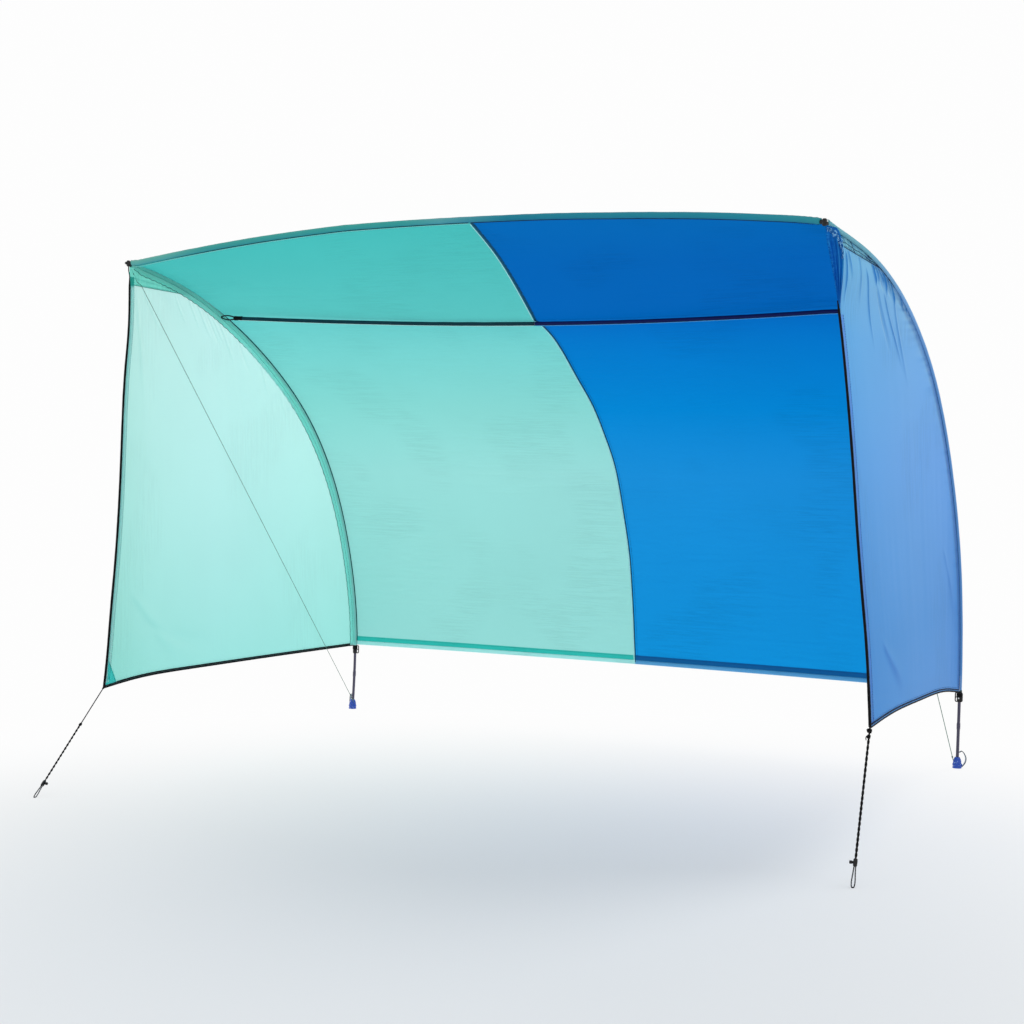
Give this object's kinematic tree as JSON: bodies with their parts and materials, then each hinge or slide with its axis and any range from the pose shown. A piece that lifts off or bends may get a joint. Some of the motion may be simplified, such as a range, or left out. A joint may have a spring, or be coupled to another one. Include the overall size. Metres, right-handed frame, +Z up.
{
  "type": "beach windbreak",
  "caption": "Free-standing bow-framed beach windbreak and sun shelter with a curved canopy, side walls, spreader bar and guy lines.",
  "frame": {"origin": "on the ground, under the middle of the whole shelter's bounding box", "axes": "+Z up; +Y from the open front toward the back; +X toward the right wall as seen from the front"},
  "size_m": [2.832, 2.0473, 1.922],
  "materials": {
    "black_plastic": "moulded plastic",
    "black_webbing": "woven polyester binding",
    "blue_cloth": "thin translucent ripstop, blue",
    "bowstring": "braided cord",
    "foot_plastic": "royal blue moulded cap",
    "guy_cord": "braided cord with a pale tracer",
    "left_wall_cloth": "thin translucent ripstop, pale teal",
    "pole": "dark grey glass fibre tube, satin",
    "right_wall_cloth": "thin translucent ripstop, light blue",
    "seam_tape": "folded felled seam",
    "sleeve_cloth": "double layer ripstop sleeve",
    "teal_cloth": "thin translucent ripstop, teal"
  },
  "bodies": {
    "root": {"back_hem_left": "teal_cloth", "back_hem_right": "blue_cloth", "back_panel_left": "teal_cloth", "back_panel_right": "blue_cloth", "back_seam_tape": "seam_tape", "front_lip_pole": "pole", "front_lip_sleeve": "sleeve_cloth", "left_arch_pole": "pole", "left_arch_sleeve": "sleeve_cloth", "left_bar_end_cap": "black_plastic", "left_bar_pocket": "black_webbing", "left_bowstring": "bowstring", "left_cord_lock": "black_plastic", "left_corner_fitting": "black_plastic", "left_corner_patch": "left_wall_cloth", "left_corner_tensioner": "black_plastic", "left_foot": "foot_plastic", "left_foot_pull_loop": "black_webbing", "left_front_edge_binding": "black_webbing", "left_guy_line": "guy_cord", "left_guy_loop": "guy_cord", "left_sleeve_buckle": "black_plastic", "left_top_gusset": "left_wall_cloth", "left_wall": "left_wall_cloth", "left_wall_hem_binding": "black_webbing", "right_arch_pole": "pole", "right_arch_sleeve": "sleeve_cloth", "right_bar_end_cap": "black_plastic", "right_bar_pocket": "black_webbing", "right_bowstring": "bowstring", "right_cord_lock": "black_plastic", "right_corner_fitting": "black_plastic", "right_corner_patch": "right_wall_cloth", "right_corner_tensioner": "black_plastic", "right_foot": "foot_plastic", "right_foot_pull_loop": "black_webbing", "right_front_edge_binding": "black_webbing", "right_guy_line": "guy_cord", "right_guy_loop": "guy_cord", "right_sleeve_buckle": "black_plastic", "right_top_gusset": "right_wall_cloth", "right_wall": "right_wall_cloth", "right_wall_hem_binding": "black_webbing", "roof_panel_left": "teal_cloth", "roof_panel_right": "blue_cloth", "roof_seam_tape": "seam_tape", "spreader_bar": "pole"}
  },
  "joints": []
}
